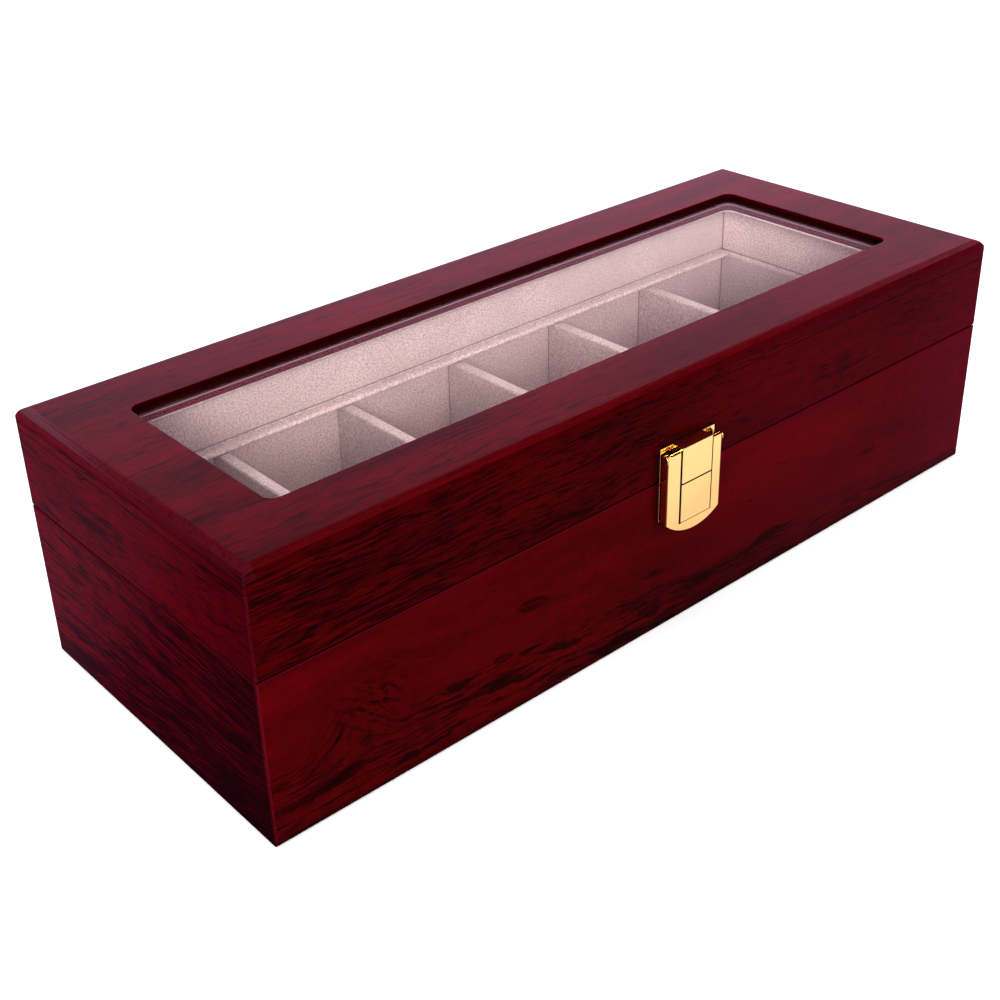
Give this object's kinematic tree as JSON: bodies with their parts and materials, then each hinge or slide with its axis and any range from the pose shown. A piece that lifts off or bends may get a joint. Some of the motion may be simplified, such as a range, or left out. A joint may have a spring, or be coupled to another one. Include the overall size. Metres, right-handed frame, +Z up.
{
  "type": "lidded compartment organizer box",
  "caption": "Long lacquered wooden organizer box with a glazed hinged lid, velvet lining, a row of equal compartments and a front flap latch.",
  "frame": {"origin": "middle of the box's underside, on the surface that it stands on", "axes": "+X to the right along the box's length, +Y from the latch side to the hinge side, +Z up"},
  "size_m": [0.31, 0.1315, 0.086],
  "materials": {
    "lacquered_wood": "high gloss lacquer over dark red figured veneer with near-black streaks",
    "velvet": "short-pile velvet, pale pinkish beige",
    "felt": "matt dark red felt",
    "gold": "polished gold-coloured plating",
    "seal": "pale grey silicone, satin",
    "glass": "clear polished sheet glass"
  },
  "bodies": {
    "base": {"base_front_board": "lacquered_wood", "base_back_board": "lacquered_wood", "base_left_board": "lacquered_wood", "base_right_board": "lacquered_wood", "base_floor_panel": "lacquered_wood", "underside_felt": "felt", "floor_lining": "velvet", "base_lining_front": "velvet", "base_lining_back": "velvet", "base_lining_left": "velvet", "base_lining_right": "velvet", "ledge_front": "velvet", "ledge_back": "velvet", "divider_1": "velvet", "divider_2": "velvet", "divider_3": "velvet", "divider_4": "velvet", "divider_5": "velvet", "hinge_left_base_leaf": "gold", "hinge_right_base_leaf": "gold", "hinge_left_pin": "gold", "hinge_right_pin": "gold", "hinge_base_screws": "gold", "latch_keeper_plate": "gold", "latch_keeper_nails": "gold"},
    "lid": {"lid_top_panel": "lacquered_wood", "lid_front_board": "lacquered_wood", "lid_back_board": "lacquered_wood", "lid_left_board": "lacquered_wood", "lid_right_board": "lacquered_wood", "glass_pane": "glass", "glazing_bead_front": "lacquered_wood", "glazing_bead_back": "lacquered_wood", "glazing_bead_left": "lacquered_wood", "glazing_bead_right": "lacquered_wood", "glazing_seal": "seal", "lid_lining_front": "velvet", "lid_lining_back": "velvet", "lid_lining_left": "velvet", "lid_lining_right": "velvet", "lid_ceiling_lining": "velvet", "hinge_left_lid_leaf": "gold", "hinge_right_lid_leaf": "gold", "hinge_lid_screws": "gold", "latch_lid_plate": "gold", "latch_lid_nails": "gold"},
    "flap": {"latch_flap": "gold", "latch_flap_plate": "gold", "latch_pivot_pin": "gold"}
  },
  "joints": [
    {"name": "lid_hinge", "type": "hinge", "parent": "base", "child": "lid", "pos_m": [0, 0.06285, 0.0533], "axis": [-1, 0, 0], "range_deg": [0, 95]},
    {"name": "latch_flap", "type": "hinge", "parent": "lid", "child": "flap", "pos_m": [0, -0.06395, 0.0626], "axis": [-1, 0, 0], "range_deg": [0, 100]}
  ]
}
